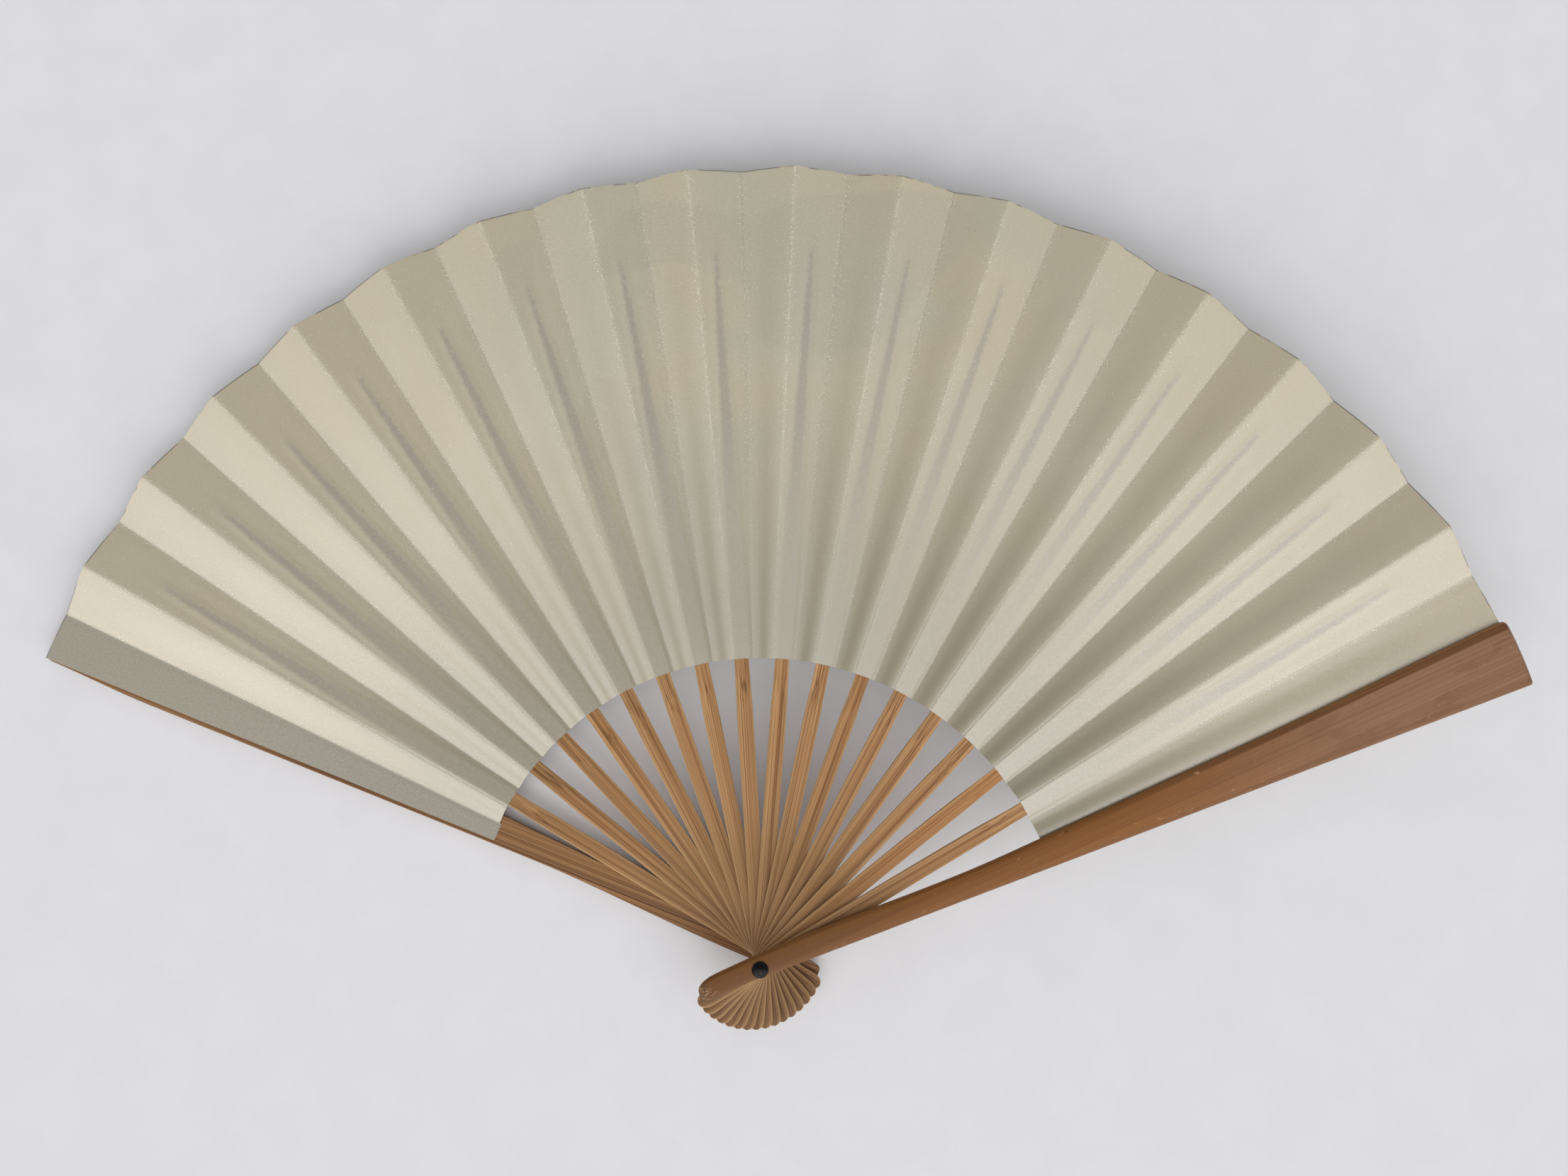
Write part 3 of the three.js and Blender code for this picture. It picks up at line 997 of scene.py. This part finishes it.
def rib_material():
    tree = Tree("cut_bamboo", Specular_IOR_Level=0.3)
    place = tree.mark("place")
    along = tree.parts(place)[0]
    tone, shift, edge = tree.parts(tree.mark("marks"))
    colour, lines, hairs = bamboo_colour(tree, place, shift, RIB_DARK, RIB_MIDDLE, RIB_LIGHT, 0.85)
    colour = tree.blend(tree.between(tone, 0.5, 1.0, 0.0, 0.55), colour, RIB_HONEY)
    cloud = tree.noise(tree.stretch(place, (30.0, 200.0, 200.0)))
    colour = tree.blend(tree.between(cloud, 0.4, 0.7, 0.0, 0.25), colour, RIB_CLOUD)
    # darker around the rivet: handling patina, with painted shade of the stacked ribs
    handled_and_shaded = tree.between(along, *RIB_HANDLED_AND_SHADED_STRETCH, 0.5, 0.0)
    colour = tree.blend(handled_and_shaded, colour, RIB_HANDLED_AND_SHADED)
    tail = tree.between(along, *RIB_TAIL_STRETCH, 0.5, 0.0)
    colour = tree.blend(tail, colour, RIB_TAIL_SHADE)
    # paler along the rib's edges
    colour = tree.blend(tree.math("MULTIPLY", edge, 0.6), colour, RIB_PALE_EDGE)
    tree.set("Base Color", colour)
    tree.set("Roughness", tree.between(lines, 0.4, 0.7, 0.5, 0.68))
    tree.bump(tree.math("ADD", lines, tree.math("MULTIPLY", hairs, 0.5)), strength=0.5, distance=0.00008)
    return tree.material


def guard_skin_material():
    tree = Tree("bamboo_skin", Specular_IOR_Level=0.22)
    place = tree.mark("place")
    along = tree.parts(place)[0]
    share = tree.parts(tree.mark("marks"))[0]
    grain = tree.noise(tree.stretch(place, (10.0, 3600.0, 1500.0)), detail=4.0, roughness=0.7)
    broad = tree.noise(tree.stretch(place, (5.0, 420.0, 300.0)), detail=3.0)
    brown = tree.blend(tree.between(broad, 0.35, 0.68), SKIN_BROWN, SKIN_TAN)
    rosy = tree.blend(tree.between(broad, 0.35, 0.68), SKIN_ROSY, SKIN_PINK)
    brown = tree.blend(tree.between(along, *SKIN_HANDLED_STRETCH, 0.55, 0.0), brown, SKIN_HANDLED)
    colour = tree.blend(tree.between(along, *ROSY_STRETCH), brown, rosy)
    blotch = tree.noise(tree.stretch(place, (55.0, 150.0, 150.0)), detail=4.0, roughness=0.6)
    tip = tree.between(along, *STAIN_STRETCH, 0.1, 0.8)
    stain = tree.math("MULTIPLY", tree.between(blotch, 0.54, 0.6), tip)
    colour = tree.blend(tree.math("MULTIPLY", stain, 0.45), colour, SKIN_STAIN)
    colour = tree.blend(tree.between(grain, 0.46, 0.7, 0.0, 0.5), colour, SKIN_GRAIN)
    # the outside edge, where the skin turns down, darkened with painted shade
    turned = tree.between(share, 0.1, 0.17, 1.0, 0.0)
    colour = tree.blend(tree.math("MULTIPLY", turned, 0.55), colour, SKIN_TURNED_SHADE)
    # the shaved edge beside the leaf, where the darker fibres show
    shaved = tree.between(along, *SHAVED_STRETCH)
    shaved = tree.math("MULTIPLY", tree.between(share, 0.865, 0.885), shaved)
    colour = tree.blend(tree.math("MULTIPLY", shaved, 0.75), colour, SHAVED_DARK)
    streak = strands(tree, tree.stretch(place, (4.0, 1300.0, 900.0)), 0.05, 0.5)
    colour = tree.blend(tree.math("MULTIPLY", streak, shaved), colour, SHAVED_STREAK)
    lit = tree.math("MULTIPLY", tree.between(share, 0.96, 0.99), 0.5)
    colour = tree.blend(lit, colour, SHAVED_LIT)
    # the chipped tail
    chips = tree.noise(tree.stretch(place, (350.0, 900.0, 900.0)), detail=4.0, roughness=0.7)
    tail = tree.between(along, *CHIPPED_STRETCH, 0.26, 0.0)
    chipped = tree.between(tree.math("ADD", chips, tail), 0.62, 0.74)
    colour = tree.blend(tree.math("MULTIPLY", chipped, 0.6), colour, CHIP_PALE)
    dark_chips = tree.noise(tree.stretch(place, (500.0, 1400.0, 900.0)), detail=3.0, roughness=0.6)
    dark_chips = tree.between(tree.math("ADD", dark_chips, tail), 0.68, 0.74, 0.0, 0.7)
    colour = tree.blend(dark_chips, colour, CHIP_DARK)
    tree.set("Base Color", colour)
    tree.set("Roughness", tree.between(chipped, 0.0, 1.0, 0.44, 0.75))
    tree.bump(tree.math("ADD", grain, chips), strength=0.35, distance=0.00006)
    return tree.material


def guard_fibre_material():
    tree = Tree("guard_cut_bamboo", Specular_IOR_Level=0.3)
    place = tree.mark("place")
    shift = tree.parts(tree.mark("marks"))[1]
    colour, lines, hairs = bamboo_colour(tree, place, shift, FIBRE_DARK, FIBRE_MIDDLE, FIBRE_LIGHT, 0.9)
    tree.set("Base Color", colour)
    tree.set("Roughness", tree.between(lines, 0.4, 0.7, 0.55, 0.7))
    tree.bump(tree.math("ADD", lines, tree.math("MULTIPLY", hairs, 0.5)), strength=0.5, distance=0.00008)
    return tree.material


def rivet_material():
    tree = Tree("black_plastic", Specular_IOR_Level=0.2)
    where = tree.nodes.new("ShaderNodeTexCoord").outputs["Object"]
    cloud = tree.noise(where, scale=900.0, detail=3.0, roughness=0.6)
    colour = tree.blend(tree.between(cloud, 0.35, 0.7), PLASTIC_BLACK, PLASTIC_WORN)
    tree.set("Base Color", colour)
    tree.set("Roughness", tree.between(cloud, 0.35, 0.7, 0.06, 0.16))
    tree.bump(tree.noise(where, scale=1800.0), strength=0.3, distance=0.00004)
    return tree.material


def floor_material():
    tree = Tree("pale_board", Roughness=0.85, Specular_IOR_Level=0.2)
    where = tree.nodes.new("ShaderNodeTexCoord").outputs["Object"]
    cloud = tree.noise(where, scale=60.0, detail=4.0, roughness=0.6)
    colour = tree.blend(tree.between(cloud, 0.3, 0.7), BOARD_GREY, BOARD_PALE)
    tree.set("Base Color", colour)
    tree.bump(tree.noise(where, scale=900.0, detail=3.0, roughness=0.6), strength=0.2, distance=0.0001)
    return tree.material


# The stage


def make_floor():
    mesh = bpy.data.meshes.new("floor")
    half = FLOOR_HALF
    corners = [(-half, -half, 0.0), (half, -half, 0.0), (half, half, 0.0), (-half, half, 0.0)]
    mesh.from_pydata(corners, [], [(0, 1, 2, 3)])
    floor = bpy.data.objects.new("floor", mesh)
    bpy.context.scene.collection.objects.link(floor)
    mesh.materials.append(floor_material())


def make_lamp():
    """A wide, weak lamp over the near side, for the soft shadows."""
    lamp = bpy.data.lights.new("lamp", "AREA")
    lamp.shape = "DISK"
    lamp.size = LAMP_SIZE
    lamp.energy = LAMP_POWER
    lamp.color = LAMP_COLOUR
    light = bpy.data.objects.new("lamp", lamp)
    light.location = LAMP_PLACE
    direction = Vector(LAMP_AIM) - Vector(LAMP_PLACE)
    light.rotation_euler = direction.to_track_quat("-Z", "Y").to_euler()
    bpy.context.scene.collection.objects.link(light)


def make_sky():
    """Soft light from all round, most of it from low over the near side."""
    world = bpy.data.worlds.new("studio")
    world.use_nodes = True
    nodes = world.node_tree.nodes
    links = world.node_tree.links
    where = nodes.new("ShaderNodeTexCoord")
    facing = nodes.new("ShaderNodeVectorMath")
    facing.operation = "DOT_PRODUCT"
    facing.inputs[1].default_value = BRIGHT_SIDE
    level = nodes.new("ShaderNodeMapRange")
    level.interpolation_type = "SMOOTHSTEP"
    level.inputs["From Min"].default_value = SKY_EDGE[0]
    level.inputs["From Max"].default_value = SKY_EDGE[1]
    level.inputs["To Min"].default_value = DIM_SKY
    level.inputs["To Max"].default_value = BRIGHT_SKY
    background = nodes["Background"]
    background.inputs["Color"].default_value = SKY_COLOUR
    links.new(where.outputs["Generated"], facing.inputs[0])
    links.new(facing.outputs["Value"], level.inputs["Value"])
    links.new(level.outputs["Result"], background.inputs["Strength"])
    bpy.context.scene.world = world


def make_camera():
    lens = bpy.data.cameras.new("camera")
    lens.sensor_width = SENSOR_WIDTH
    lens.sensor_fit = "HORIZONTAL"
    lens.lens = CAMERA_LENS
    lens.clip_start = 0.01
    camera = bpy.data.objects.new("camera", lens)
    pitch, roll = CAMERA_TURN
    turn = Matrix.Rotation(roll, 3, "Y") @ Matrix.Rotation(pitch, 3, "X")
    camera.rotation_euler = turn.to_euler()
    camera.location = CAMERA_PLACE
    bpy.context.scene.collection.objects.link(camera)
    bpy.context.scene.camera = camera


make_camera()
make_floor()
make_sky()
make_lamp()
bpy.context.scene.view_settings.view_transform = "Standard"

rib_bamboo = rib_material()
for number in range(1, RIB_COUNT + 1):
    make_rib(number, rib_bamboo)
guard_skin = guard_skin_material()
guard_fibre = guard_fibre_material()
make_guard("rear_guard", 0, REAR_OUTLINE, guard_skin, guard_fibre)
make_guard("front_guard", LAST, FRONT_OUTLINE, guard_skin, guard_fibre)
make_leaf(paper_material())
make_rivet(rivet_material())

bpy.context.view_layer.update()
